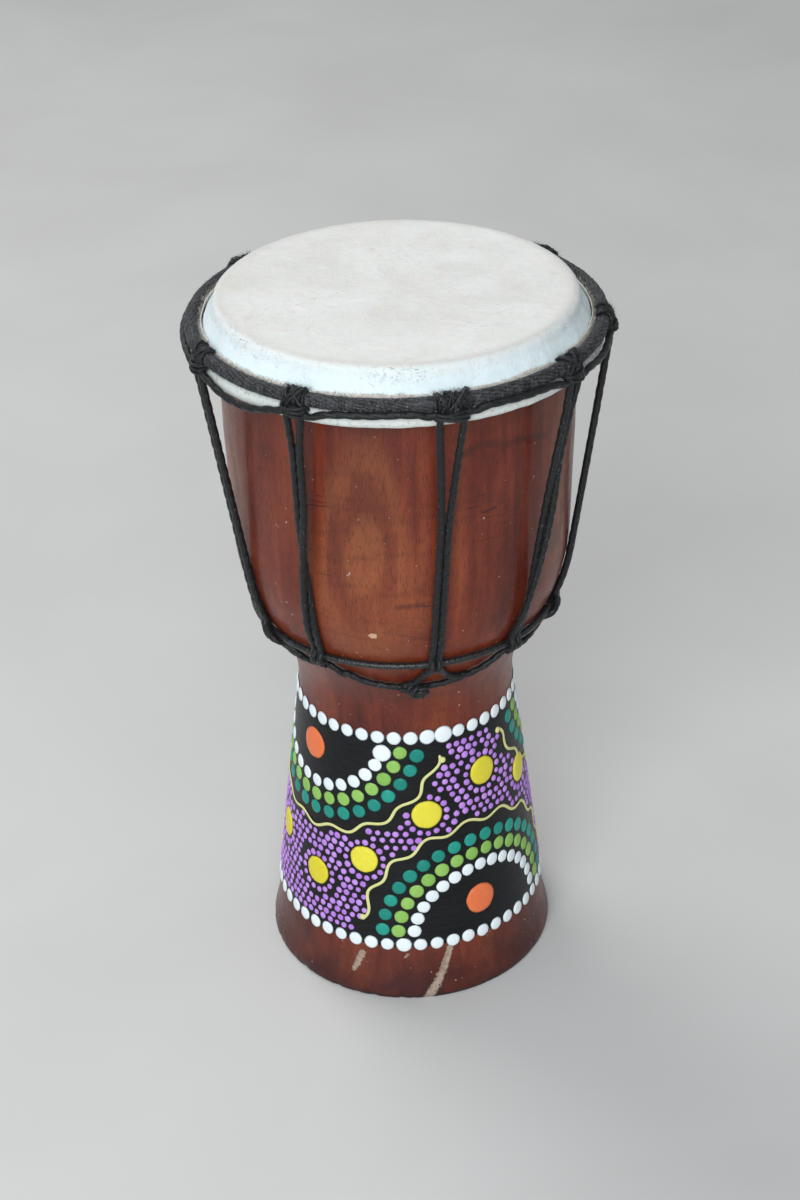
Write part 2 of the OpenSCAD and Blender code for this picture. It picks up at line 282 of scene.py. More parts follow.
def rope(heap, points, radius, spacing=0.55 * MM, plies=2, lay=11 * MM, depth=0.2, columns=18,
         closed=False, tip=0.0, seed=0, tone=0.5):
    """A twisted cord along a smooth path through the given points, and that path.
    Its section has one lobe for each ply and turns as it goes."""
    path = smooth_path(points, spacing, closed)
    n = len(path)
    run = running_length(path)
    whole = run[-1] + ((path[0] - path[-1]).length if closed else 0)
    turns = max(1, round(whole / lay)) if closed else whole / lay
    twist = 2 * pi * turns / whole
    made = []
    for centre, done, (side, other) in zip(path, run, path_sides(path, closed)):
        swell = 1 + 0.06 * wobble(done / (4 * MM), seed, 0.3)
        if tip and not closed:
            swell *= min(1.0, 0.35 + 0.65 * sqrt(min(1.0, min(done, whole - done) / tip)))
        for k in range(columns):
            a = 2 * pi * k / columns
            lobe = abs(cos(plies / 2 * (a - twist * done)))
            r = radius * swell * (1 - depth * (1 - lobe) ** 1.5)
            made.append(centre + side * (r * cos(a)) + other * (r * sin(a)))
    faces = grid_faces(n, columns, close_rows=closed)
    if not closed:
        faces += [tuple(reversed(range(columns))), tuple(range((n - 1) * columns, n * columns))]
    heap.add(made, faces, tone)
    return path


def fibre(heap, root, direction, length, width, curl, tone):
    """One thin tapering hair of three sides and two joints."""
    direction = direction.normalized()
    side = direction.orthogonal().normalized()
    other = direction.cross(side)
    points = []
    for level, share in ((0.0, 1.0), (0.55, 0.7)):
        middle = root + direction * length * level + curl * level * level
        for k in range(3):
            a = 2 * pi * k / 3
            points.append(middle + (side * cos(a) + other * sin(a)) * width * share)
    points.append(root + direction * length + curl)
    faces = [(2, 1, 0)]
    for k in range(3):
        m = (k + 1) % 3
        faces += [(k, m, 3 + m, 3 + k), (3 + k, 3 + m, 6)]
    heap.add(points, faces, tone)


def lint(heap, path, radius, count, length):
    """Short stray fibres along a cord."""
    for _ in range(count):
        away = Vector([uniform(-1, 1) for _ in range(3)]).normalized()
        fibre(heap, path[chance.randrange(2, len(path) - 2)] + away * radius * 0.85, away,
              uniform(0.4, 1) * length, 0.035 * MM, at(uniform(0, 360), 0.3 * MM, 0), 0.7)


# ---- Materials ----


class Signal:
    """A shader value that takes part in sums and products."""

    def __init__(self, look, socket):
        self.look, self.socket = look, socket

    def __add__(self, other):
        return self.look.math("ADD", self, other)

    def __sub__(self, other):
        return self.look.math("SUBTRACT", self, other)

    def __rsub__(self, other):
        return self.look.math("SUBTRACT", other, self)

    def __mul__(self, other):
        return self.look.math("MULTIPLY", self, other)


class Look:
    """A material whose nodes are added one call at a time."""

    def __init__(self, name, **settings):
        self.material = bpy.data.materials.new(name)
        self.material.use_nodes = True
        self.tree = self.material.node_tree
        self.tree.nodes.clear()
        self.shader = self.tree.nodes.new("ShaderNodeBsdfPrincipled")
        out = self.tree.nodes.new("ShaderNodeOutputMaterial")
        self.tree.links.new(self.shader.outputs[0], out.inputs["Surface"])
        for label, value in settings.items():
            self.shader.inputs[label.replace("_", " ")].default_value = value
        self.place = self.add("ShaderNodeTexCoord", "Object")
        self.colour = None

    def add(self, kind, output, inputs=None, **settings):
        """A new node with its inputs joined or set; gives the named or numbered output."""
        made = self.tree.nodes.new(kind)
        for label, value in settings.items():
            setattr(made, label, value)
        for label, value in (inputs or {}).items():
            self.join(value, made.inputs[label])
        return Signal(self, made.outputs[output])

    def join(self, value, socket):
        if isinstance(value, Signal):
            self.tree.links.new(value.socket, socket)
        else:
            socket.default_value = value

    def set(self, label, value):
        self.join(value, self.shader.inputs[label])

    def scaled(self, stretch):
        return self.add("ShaderNodeMapping", 0, {"Vector": self.place, "Scale": stretch})

    def noise(self, scale, detail=3.0, rough=0.5, distort=0.0, stretch=(1, 1, 1)):
        return self.add("ShaderNodeTexNoise", "Fac", {
            "Vector": self.scaled(stretch), "Scale": scale, "Detail": detail, "Roughness": rough,
            "Distortion": distort})

    def cells(self, scale):
        return self.add("ShaderNodeTexVoronoi", "Distance", {"Vector": self.place, "Scale": scale})

    def math(self, operation, a, b=0.0, clamp=False):
        return self.add("ShaderNodeMath", 0, {0: a, 1: b}, operation=operation, use_clamp=clamp)

    def span(self, value, low, high, to_low=0.0, to_high=1.0):
        """value between low and high, eased, onto another span."""
        return self.add("ShaderNodeMapRange", 0, dict(enumerate((value, low, high, to_low, to_high))),
                        interpolation_type="SMOOTHSTEP")

    def patches(self, low, high, *settings):
        """Soft patches where a noise passes from low to high."""
        return self.span(self.noise(*settings), low, high)

    def ramp(self, value, *stops):
        made = self.add("ShaderNodeValToRGB", 0, {0: value})
        bar = made.socket.node.color_ramp.elements
        while len(bar) < len(stops):
            bar.new(0.5)
        for element, (position, colour) in zip(bar, stops):
            element.position = position
            element.color = (*colour, 1)
        return made

    def mix(self, share, a, b):
        a, b = ((*value, 1) if isinstance(value, tuple) else value for value in (a, b))
        return self.add("ShaderNodeMix", 2, {"Factor": share, 6: a, 7: b}, data_type="RGBA")

    def over(self, share, colour):
        """Lays a colour over the look's colour so far."""
        self.colour = self.mix(share, self.colour, colour)

    def attribute(self, label):
        return self.add("ShaderNodeAttribute", "Fac", attribute_name=label)

    def bump(self, height, distance, strength=1.0, over=None):
        inputs = {"Height": height, "Distance": distance, "Strength": strength}
        if over is not None:
            inputs["Normal"] = over
        return self.add("ShaderNodeBump", 0, inputs)

    def finish(self, rough, normal):
        self.set("Base Color", self.colour)
        self.set("Roughness", rough)
        self.set("Normal", normal)
        return self.material


def wood_look():
    """Varnished red-brown wood, raw inside, with wear, chips, dark marks and dust, and painted shade
    towards the bottom.
    """
    look = Look("mahogany_varnished", IOR=1.5, Specular_IOR_Level=0.22, Coat_Roughness=0.11,
                Coat_IOR=1.5)
    warp = look.noise(22, 3, 0.55, 1.2, (1, 1, 0.35))
    figure = look.noise(46, 5, 0.6, 0.9, (1, 1, 0.16))
    streak = look.noise(230, 6, 0.62, 0.25, (1, 1, 0.05))
    look.colour = look.ramp(
        warp * 0.42 + figure * 0.34 + streak * 0.26,
        (0.36, (0.050, 0.0070, 0.0038)), (0.46, (0.118, 0.0175, 0.0080)),
        (0.54, (0.182, 0.0320, 0.0125)), (0.66, (0.262, 0.0620, 0.0210)))
    arch = look.attribute("arch") + (figure - 0.5) * 0.9 + (warp - 0.5) * 1.1
    rings = look.span(look.math("SINE", arch * 9.0), -0.9, 0.9)
    near = look.span(arch, 1.3, 0.45)
    look.over(near * (rings * 0.7 + 0.3) * 0.52, (0.33, 0.104, 0.034))
    look.over(near * (1.0 - rings) * 0.15, (0.110, 0.020, 0.009))
    ribbon = look.noise(150, 3, 0.5, 0.6, (0.25, 0.25, 1))
    look.over(look.span(ribbon, 0.52, 0.72, 0.0, 0.28), (0.070, 0.012, 0.007))
    pore = look.patches(0.53, 0.67, 2500, 2, 0.5, 0.1, (1, 1, 0.12))
    look.over(pore * 0.46, (0.040, 0.007, 0.0045))
    crack = look.noise(520, 3, 0.55, 0.5, (0.10, 0.10, 1))
    crack = look.span(crack, 0.60, 0.68) * look.attribute("checked")
    flaw = look.attribute("flaw") + (look.noise(420, 4, 0.6, 0.0, (0.3, 0.3, 1)) - 0.5) * 1.1
    crack = look.math("MAXIMUM", crack, look.span(flaw, 0.25, 0.95) * 0.62)
    look.over(crack * 0.8, (0.034, 0.008, 0.008))
    # Painted shade: the wood is darkened in patches towards the foot and the lower bowl, and darkest in a
    # thin line along the foot's bottom edge.
    foot = look.attribute("foot")
    lower_shade = look.span(look.noise(60, 4, 0.6), 0.35, 0.70, 0.42, 0.88)
    look.over(look.math("MULTIPLY", foot, lower_shade, True), (0.044, 0.0075, 0.0065))
    look.over(look.span(foot, 1.31, 1.37, 0.0, 0.8), (0.020, 0.008, 0.007))
    inside = look.attribute("inside")
    look.over(inside, look.ramp(streak, (0.3, (0.17, 0.075, 0.040)), (0.7, (0.33, 0.165, 0.092))))
    ragged = look.noise(700, 5, 0.7) - 0.5
    worn = look.span(look.attribute("worn") + ragged * 1.1, 0.46, 0.64)
    bare = look.ramp(look.noise(500, 4, 0.6), (0.3, (0.27, 0.18, 0.13)), (0.7, (0.50, 0.40, 0.33)))
    look.over(worn * 0.88, bare)
    chip = look.span(look.attribute("chip") + ragged * 0.5, 0.48, 0.56)
    look.over(chip, (0.56, 0.34, 0.22))
    look.over(look.patches(0.765, 0.790, 520, 1) * 0.55, (0.55, 0.45, 0.40))
    broken = look.math("MAXIMUM", worn, chip)
    dull = look.math("MAXIMUM", broken, inside)
    look.set("Coat Weight", (1.0 - dull) * 0.30)
    waves = look.bump(look.noise(90, stretch=(1, 1, 0.6)), 0.5 * MM, 0.4)
    look.set("Coat Normal", look.bump(pore, 0.07 * MM, 0.4, waves))
    rough = look.span(look.noise(35, 4, 0.6), 0.3, 0.7, 0.36, 0.50)
    hollow = look.bump(pore, 0.1 * MM, 0.5)
    carved = look.bump(look.noise(120, stretch=(1, 1, 0.5)) * inside, 2 * MM, 0.8, hollow)
    marks = look.bump(broken * -1.0 + crack * -0.5, 0.3 * MM, 0.8, carved)
    return look.finish(look.math("ADD", rough, dull * 0.35, True), marks)


def paint_look(name, colour, pale):
    """Thick craft paint: a slightly uneven colour, brush marks and a soft gloss."""
    look = Look(name, IOR=1.46, Specular_IOR_Level=0.35, Subsurface_Weight=0.05,
                Subsurface_Scale=0.6 * MM)
    cloud = look.patches(0.3, 0.72, 420, 4, 0.6)
    shade = look.math("ADD", cloud * 0.2, look.attribute("tone") * 0.5, True)
    look.colour = look.mix(shade, colour, pale)
    brushed = look.noise(700, 3, 0.55, 0.0, (1, 1, 2.5))
    return look.finish(look.span(cloud, 0.0, 1.0, 0.29, 0.48), look.bump(brushed, 0.12 * MM, 0.55))


def black_paint_look():
    """Brushed black paint, a little dusty."""
    look = Look("black_band_paint", IOR=1.48, Specular_IOR_Level=0.22)
    strokes = look.noise(160, 4, 0.6, 0.3, (1, 1, 9))
    look.colour = look.ramp(strokes, (0.3, (0.004, 0.0045, 0.005)), (0.75, (0.011, 0.012, 0.013)))
    look.over(look.patches(0.58, 0.8, 900, 5, 0.7) * 0.3, (0.06, 0.06, 0.062))
    return look.finish(look.span(strokes, 0.2, 0.8, 0.26, 0.46), look.bump(strokes, 0.3 * MM, 0.45))


def hide_look():
    """Scraped goat hide: warm and clouded on the face, painted brighter and bluer on the skirt for the cool
    light it catches, soiled and painted darker along the rim's corner.
    """
    look = Look("goat_hide", IOR=1.45, Specular_IOR_Level=0.35, Subsurface_Weight=0.12,
                Subsurface_Scale=3 * MM, Sheen_Weight=0.1, Sheen_Roughness=0.5)
    cloud = look.noise(26, 5, 0.6, 0.5)
    look.colour = look.ramp(cloud, (0.32, (0.665, 0.650, 0.615)), (0.50, (0.725, 0.715, 0.690)),
                            (0.68, (0.765, 0.762, 0.745)))
    # Painted light: the skirt is the same hide as the face, coloured brighter and bluer for the cool light
    # that falls on it.
    look.over(look.attribute("skirt") * 0.92, (0.745, 0.850, 0.885))
    look.over(look.patches(0.45, 0.7, 260, 5, 0.65) * 0.12, (0.50, 0.46, 0.41))
    look.over(look.patches(0.60, 0.80, 75, 4, 0.62, 0.8) * 0.24, (0.56, 0.48, 0.40))
    hair = look.math("ABSOLUTE", look.noise(85, 3, 0.55, 1.4) - 0.5)
    vein = look.span(hair, 0.009, 0.002) * look.patches(0.50, 0.64, 38, 2)
    look.over(vein * 0.30, (0.42, 0.31, 0.23))
    look.over(look.patches(0.71, 0.77, 1300, 2) * 0.55, (0.30, 0.24, 0.19))
    # Soiling and painted shade: a grey-brown line along the face's corner at the rim.
    edge_soil_and_shade = look.attribute("edge") * look.span(cloud, 0.30, 0.62, 0.35, 1.0)
    look.over(edge_soil_and_shade * 0.50, (0.46, 0.42, 0.38))
    scratch = look.patches(0.575, 0.65, 520, 4, 0.6, 1.6, (1, 1, 2.4))
    rubbed = look.attribute("rubbed") * scratch
    look.over(rubbed * 0.72, (0.31, 0.27, 0.25))
    band = look.attribute("band")
    look.over(band * 0.72, (0.64, 0.65, 0.60))
    look.over(band * look.patches(0.50, 0.72, 620, 5, 0.7) * 0.62, (0.24, 0.235, 0.215))
    hem = look.attribute("hem") * look.patches(0.35, 0.7, 330, 4, 0.6)
    look.over(hem * 0.6, (0.50, 0.42, 0.32))
    follicles = 1.0 - look.span(look.cells(1100), 0.0, 0.35)
    grain = look.bump(look.noise(800, 4, 0.6), 0.25 * MM, 0.5)
    pits = look.bump(follicles * -1.0, 0.12 * MM, 0.45, grain)
    lines = look.bump(rubbed * -1.0, 0.2 * MM, 0.7, pits)
    swells = look.bump(look.noise(110, 4, 0.55, 0.6, (1, 1, 0.4)), 1.6 * MM, 0.30, lines)
    return look.finish(look.span(cloud, 0.2, 0.8, 0.55, 0.72), swells)


def cord_look(name, dark, light, rough=0.55, grain=2600, specks=0.6, level=0.25):
    """Cord or cloth: thread lines, dust, pale specks of lint and painted glint, and a low sheen."""
    look = Look(name, IOR=1.45, Specular_IOR_Level=level, Sheen_Weight=0.05, Sheen_Roughness=0.4)
    thread = look.noise(grain, 3, 0.6)
    cloud = look.noise(150, 4, 0.6)
    look.colour = look.ramp(thread * 0.5 + look.attribute("tone") * 0.5, (0.3, dark), (0.75, light))
    dusty = look.patches(0.56, 0.74, 1300, 4, 0.7) * look.span(cloud, 0.42, 0.66)
    look.over(dusty * 0.5, tuple(min(1, 4 * c) for c in light))
    # Pale specks: partly lint, partly painted glints on the glossy fibres.
    look.over(look.patches(0.70, 0.74, 1900, 2) * specks, (0.42, 0.41, 0.40))
    return look.finish(look.span(cloud, 0.3, 0.7, rough - 0.14, rough + 0.14),
                       look.bump(thread, 0.25 * MM, 0.8))


def wire_look():
    """Drawn steel wire with a little rust."""
    look = Look("drawn_wire", Metallic=1.0)
    rust = look.patches(0.5, 0.7, 300, 4, 0.65)
    look.colour = look.mix(rust, (0.32, 0.31, 0.30), (0.17, 0.08, 0.045))
    drawn = look.bump(look.noise(1500, 3, 0.6), 0.1 * MM, 0.4)
    return look.finish(look.span(rust, 0.0, 1.0, 0.35, 0.75), drawn)


WOOD = wood_look()
BLACK_PAINT = black_paint_look()
HIDE = hide_look()
CORD = cord_look("waxed_cord", (0.003, 0.0034, 0.004), (0.015, 0.016, 0.018), 0.38,
                 specks=0.5, level=0.4)
# The cloth's pale thread shade is set lighter, partly as painted sheen on its glossy fibres.
CLOTH = cord_look("wound_cloth", (0.006, 0.0065, 0.0075), (0.080, 0.083, 0.091), 0.66, 1900, 0.8, 0.35)
TAPE = cord_look("wound_tape", (0.004, 0.0045, 0.005), (0.024, 0.025, 0.028), 0.30, 1500, 0.6, 0.6)
LINT = cord_look("pale_lint", (0.16, 0.16, 0.16), (0.52, 0.51, 0.50), 0.7)
FRINGE = cord_look("hide_fibres", (0.42, 0.37, 0.29), (0.72, 0.68, 0.60), 0.7)
PAINTS = {colour: paint_look(f"{colour}_paint_{'line' if colour == 'cream' else 'dots'}", *shades)
          for colour, shades in {
              "white": ((0.74, 0.82, 0.86), (0.86, 0.91, 0.93)),
              "light_green": ((0.20, 0.43, 0.075), (0.36, 0.62, 0.16)),
              "teal": ((0.006, 0.21, 0.17), (0.022, 0.38, 0.29)),
              "orange": ((0.70, 0.13, 0.04), (0.84, 0.22, 0.08)),
              "yellow": ((0.70, 0.60, 0.025), (0.86, 0.80, 0.09)),
              "violet": ((0.42, 0.18, 0.66), (0.66, 0.38, 0.90)),
              "cream": ((0.62, 0.62, 0.23), (0.80, 0.81, 0.42))}.items()}
wire = wire_look()
for name in ("flesh_hoop", "crown_ring", "waist_ring"):
    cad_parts[name].data.materials.clear()
    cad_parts[name].data.materials.append(wire)


# ---- Shell ----

# Lines of wear and dark lines across the grain: points of (angle, height and half width in mm)
WORN_STROKES = [
    [(-25, 11, 1.3), (-21.5, 20, 1.7)], [(6, 0.5, 2.3), (12.5, 12, 1.9), (16.5, 24, 1.5)],
    [(-3, 20, 0.8), (-1.5, 22, 0.6)], [(150, 4, 1.8), (154, 15, 1.4)], [(228, 2, 2.0), (226, 8, 1.5)]]
FLAWS = [
    [(20, 262.5, 1.7), (26, 265, 1.7), (33, 262, 1.7), (43, 261, 1.7), (52, 258, 1.7)],
    [(1, 183.5, 0.9), (6, 184, 0.9), (13, 182.5, 0.9)], [(-2, 199.5, 1.2), (6, 200.5, 1.2)],
    [(184, 262, 1.0), (190, 260, 1.0), (197, 262.5, 1.0)], [(101, 214, 0.8), (109, 215.5, 0.8)]]
# Chips in the varnish: angle, height and half width in mm
CHIPS = [(-10.6, 185.2, 2.0), (1.2, 183.5, 0.9), (118, 205, 1.5), (196, 232, 1.2), (247, 178, 1.7)]
# Soft marks: angle, height in mm, half width in degrees and half height in mm.
# First the arched figure in the grain, then the patches of fine cracks
ARCHES = [(-12, 216, 18, 50), (62, 232, 10, 38), (140, 222, 19, 46), (228, 206, 16, 36), (286, 238, 11, 30)]
CHECKED = [(33, 268, 11, 6), (27, 236, 15, 12), (4, 185, 9, 4), (8, 199, 8, 4), (-32, 240, 10, 14),
           (172, 210, 22, 26), (260, 226, 16, 18), (-26, 218, 5, 10)]

# The hide turns over the rim in an arc, and the wood stays just under it
TURN_R, TURN_Z, TURN = 66.2 * MM, 296.75 * MM, 2.8 * MM


def dense(outline, spacing):
    """(r, z) points at even spacing along a smooth line through the given ones."""
    return [(p.x, p.z) for p in smooth_path([(r, 0, z) for r, z in outline], spacing)]


def blur_line(line, rounds):
    """Eases the corners of a line of (r, z) points whose ends stay."""
    line = [Vector(p) for p in line]
    for _ in range(rounds):
        line = [line[0]] + [(line[i - 1] + line[i] * 2 + line[i + 1]) / 4
                            for i in range(1, len(line) - 1)] + [line[-1]]
    return [(p.x, p.y) for p in line]


def spot(angle, height, marks):
    """How strongly soft oval marks cover a point, from 0 to 1."""
    return min(1.0, sum(exp(-(turn_between(angle, a) / wide) ** 2 - ((height - h) / tall) ** 2)
                        for a, h, wide, tall in marks))


def line_cover(angle, radius, height, lines):
    """1 on the middle of a drawn line, 0.5 at its edge, 0 away from it. Lengths are in mm."""
    best = 0.0
    for line in lines:
        for (a0, h0, half0), (a1, h1, half1) in zip(line, line[1:]):
            along = Vector((radians(a1 - a0) * radius, h1 - h0))
            here = Vector((radians(turn_between(angle, a0)) * radius, height - h0))
            t = share_of(here.dot(along) / along.length_squared)
            best = max(best, 1 - 0.5 * (here - along * t).length / (half0 + (half1 - half0) * t))
    return best


def chip_cover(angle, radius, height):
    """Over 0.5 inside a chip in the varnish. Lengths are in mm."""
    best = 0.0
    for a, h, half in CHIPS:
        away = hypot(radians(turn_between(angle, a)) * radius, (height - h) * 1.35)
        best = max(best, 1 - 0.5 * away / half)
    return best


def arch_distance(angle, height):
    """How far a point is from the nearest arched figure's middle, 1 at its edge. It opens downwards."""
    best = 9.0
    for a, h, wide, tall in ARCHES:
        widen = 1 + 0.35 * max(-1.0, min(1.0, (h - height) / tall))
        best = min(best, hypot(turn_between(angle, a) / (wide * widen), (height - h) / tall))
    return best


def under_hide(r, z):
    """A point of the rim moved in to where it clears the hide."""
    if r < 60 * MM or z < 286 * MM:
        return r, z
    room = TURN - 0.85 * MM
    z = min(z, TURN_Z + room)
    limit = TURN_R + (sqrt(max(0.0, room ** 2 - (z - TURN_Z) ** 2)) if z > TURN_Z else room)
    return min(r, limit), z


def shell_lines():
    """The shell's outline from the foot up the outside, over the rim, and down the inside."""
    rim_low, throat_top, foot_round = 296 * MM, 152 * MM, 2 * MM
    pairs = [tuple(p) for p in shell_pairs]
    rim = sorted((p for p in pairs if p[1] > rim_low), key=lambda p: -p[0])
    inner = sorted((p for p in pairs if p[1] <= rim_low and p[0] < shell_radius(p[1]) - 4 * MM),
                   key=lambda p: -p[1])
    foot_edge = [tuple(p) for p in shell_outside if p[1] < foot_round]
    side = [tuple(p) for p in shell_outside if foot_round <= p[1] <= rim_low]
    outside = blur_line(dense(foot_edge, 0.7 * MM) + dense(side, 1.35 * MM)[1:], 5)
    neck = [i for i, p in enumerate(outside) if 128 * MM < p[1] < 158 * MM]
    outside[neck[0]:neck[-1]] = blur_line(outside[neck[0]:neck[-1]], 60)
    over = dense([outside[-1]] + rim, 0.9 * MM)[1:]
    cup = dense([over[-1]] + [p for p in inner if p[1] >= throat_top], 3.6 * MM)[1:]
    throat = dense([p for p in inner if p[1] < throat_top], 5 * MM)[1:]
    return outside, over, blur_line(cup, 3) + blur_line(throat, 2)


def build_shell():
    """The turned wood with its tool marks, nicks, wear and hollow."""
    columns = 288
    outside, over, within = shell_lines()
    line = [under_hide(*p) for p in outside + over + within]
    rim_top = shell_pairs[:, 1].max()
    points = []
    marks = []
    for i, (r, z) in enumerate(line):
        hollow = float(i >= len(outside) + len(over) * 0.6)
        radius, height = r / MM, z / MM
        # How far down the wood is painted darker as shade: most at the foot, some on the lower bowl.
        low = share_of(1 - height / 30) + 0.4 * share_of((150 - height) / 40)
        for k in range(columns):
            angle = 360 * k / columns
            worn = chip = flaw = 0.0
            shift = 0.10 * MM * ripple(angle, 2, z / (30 * MM), 1) * (height < 280)
            if hollow:
                gouge = ripple(angle, 9, z / (14 * MM), 2)
                shift += 0.55 * MM * gouge * min(1, (rim_top - z) / (20 * MM)) * min(1, height / 4)
            else:
                worn = line_cover(angle, radius, height, WORN_STROKES)
                chip = chip_cover(angle, radius, height)
                flaw = line_cover(angle, radius, height, FLAWS)
                nick = max(0.0, ripple(angle, 16, z / (6 * MM), 3) - 0.22)
                shift -= 1.6 * MM * nick * max(0.0, 1 - height / 7)
            shift -= 0.25 * MM * share_of((max(worn, chip) - 0.45) * 4)
            points.append(at(angle, r + shift, z))
            marks.append((hollow, worn, chip, arch_distance(angle, height), spot(angle, height, CHECKED),
                          flaw, low))
    labels = ("inside", "worn", "chip", "arch", "checked", "flaw", "foot")
    add_piece("shell_wood", points, grid_faces(len(line), columns, close_rows=True), WOOD,
              dict(zip(labels, zip(*marks))), "shell")


# ---- Paint ----

# How far the black film stands off the wood where dots lie on it
BAND_TOP = 0.33 * MM
# Each colour of dots: height in mm, columns, rings, flatness, spread of sizes, unevenness
DOTS = {"white": (0.62, 22, 5, 2.2, 0.04, 0.045), "light_green": (0.6, 22, 5, 2.2, 0.04, 0.045),
        "teal": (0.6, 22, 5, 2.2, 0.04, 0.045), "orange": (0.75, 40, 8, 4.5, 0.03, 0.03),
        "yellow": (0.75, 40, 8, 4.5, 0.04, 0.035), "violet": (0.5, 12, 3, 2.0, 0.14, 0.14)}
# White dots that ran together or were put down larger: angle, height, how much larger
RUN_DOTS = [(18.9, 124 * MM, 1.28), (10.3, 124 * MM, 1.1), (-14, 115 * MM, 1.3), (-1.5, 26.5 * MM, 1.12)]


def build_band():
    """The black paint film: its edges wander a little, and its surface has brush ridges."""
    columns, steps = 288, 84
    low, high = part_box("painted_band")
    film = 0.34 * MM
    points = []
    for side in (1, 0):
        for i in range(steps + 1):
            t = i / steps if side else 1 - i / steps
            edge = min(1.0, 14 * min(t, 1 - t) + 0.3)
            for k in range(columns):
                angle = 360 * k / columns
                z = low.z + (high.z - low.z) * t + 0.5 * MM * ripple(angle, 5, t * 2, 5)
                ridge = 0.05 * MM * ripple(angle, 3, z / (1.6 * MM), 6)
                out = film * edge + ridge if side else 0.02 * MM
                points.append(at(angle, shell_radius(z) + out, z))
    faces = grid_faces(2 * (steps + 1), columns, close_rows=True)
    add_piece("black_band", points, faces, BLACK_PAINT, node="painted_band")


def blob(heap, angle, z, radius, height, columns, rings, flatness=2.2, rough=0.045, seed=0.0, tone=0.5):
    """A domed spot of paint that follows the foot's surface."""
    points = []
    spin = uniform(0, 360)
    for ring in range(rings + 1):
        share = 1 - ring / (rings + 0.35)
        rise = (1 - share ** flatness) ** 0.6
        for k in range(columns):
            a = radians(spin + 360 * k / columns)
            x, y = 2 * cos(a), 2 * sin(a)
            r = radius * share * (1 + rough * wobble(x, y, seed) * share)
            up = r * sin(a)
            across = degrees(r * cos(a) / shell_radius(z + up))
            lump = 1 + 0.08 * wobble(r / radius * x, r / radius * y, seed + 5)
            points.append(at(angle + across, shell_radius(z + up) + BAND_TOP - 0.06 * MM
                             + height * rise * lump, z + up))
    top = len(points)
    for off in (height * 1.02 - 0.06 * MM, -0.16 * MM):
        points.append(at(angle, shell_radius(z) + BAND_TOP + off, z))
    faces = grid_faces(rings + 1, columns)
    last = rings * columns
    faces += [(last + k, last + (k + 1) % columns, top) for k in range(columns)]
    faces += [((k + 1) % columns, k, top + 1) for k in range(columns)]
    heap.add(points, faces, tone)


def build_dots(colour, height, columns, rings, flatness, spread, rough):
    """All dots of one colour, each where the CAD has it."""
    node = f"{colour}_dots"
    heap = Heap()
    for n, part in enumerate(sorted(loose_parts(node), key=lambda p: tuple(p.mean(0)))):
        low, high = part.min(0), part.max(0)
        x, y, z = ((low + high) / 2).tolist()
        radius = float(high[2] - low[2]) / 2 * (1.08 if colour == "violet" else 1.0)
        for run_angle, run_z, swell in RUN_DOTS if colour == "white" else []:
            if abs(turn_between(angle_of(x, y), run_angle)) < 3 and abs(z - run_z) < 3 * MM:
                radius *= swell
        blob(heap, angle_of(x, y), z, radius * (1 + uniform(-spread, spread)), height * MM,
             columns, rings, flatness, rough, seed=n * 0.37, tone=chance.random())
    name = "white_paint_spots" if colour == "white" else f"{colour}_spots"
    heap.piece(name, PAINTS[colour], f"{colour}_paint", node)


def rounded_mesh(node):
    """A CAD node's points and faces with its corners rounded over."""
    work = bmesh.new()
    work.from_mesh(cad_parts[node].data)
    bmesh.ops.remove_doubles(work, verts=work.verts, dist=0.01 * MM)
    bmesh.ops.join_triangles(work, faces=work.faces, angle_face_threshold=0.9, angle_shape_threshold=1.2)
    mesh = bpy.data.meshes.new("rounding")
    work.to_mesh(mesh)
    work.free()
    helper = add_object("rounding", mesh)
    helper.modifiers.new("round", "SUBSURF").levels = 2
    evaluated = helper.evaluated_get(bpy.context.evaluated_depsgraph_get()).to_mesh()
    points = [v.co.copy() for v in evaluated.vertices]
    faces = [tuple(p.vertices) for p in evaluated.polygons]
    bpy.data.objects.remove(helper)
    return points, faces


def build_lines():
    """The wavy cream lines: the CAD lines, rounded over and uneven in width, with blobs at their ends."""
    points, faces = rounded_mesh("cream_lines")
    moved = []
    for p in points:
        base = shell_radius(p.z)
        fat = 1 + 0.5 * wobble(p.x / (7 * MM), p.y / (7 * MM), p.z / (7 * MM), 8)
        out = (hypot(p.x, p.y) - base) * fat - 0.12 * MM
        moved.append(at(angle_of(p.x, p.y), base + max(0.2 * MM, out), p.z))
    heap = Heap()
    heap.add(moved, faces, 0.4)
    for part in loose_parts("cream_lines"):
        middle = angle_of(*part[:, :2].mean(0))
        turns = np.array([turn_between(angle_of(x, y), middle) for x, y, _ in part])
        for pick in (turns.argmin(), turns.argmax()):
            x, y, z = part[pick]
            blob(heap, angle_of(x, y), float(z), 1.5 * MM, 0.75 * MM, 16, 4, seed=z * 90, tone=0.4)
    heap.piece("cream_wave_lines", PAINTS["cream"], "cream_paint", "cream_lines")


# ---- Head ----

HIDE_THICK = 0.9 * MM
# Where the skirt runs down from the turn, and where the hem comes up behind the ring, in mm
SKIRT = [(69.7, 295.2), (71.3, 292.4), (72.7, 290.0), (73.2, 287.8), (73.0, 285.4)]
HEM = [(76.4, 286.2), (75.2, 287.5), (74.5, 289.0), (74.2, 290.3), (73.9, 291.4)]
HEM_TALL = 6 * MM


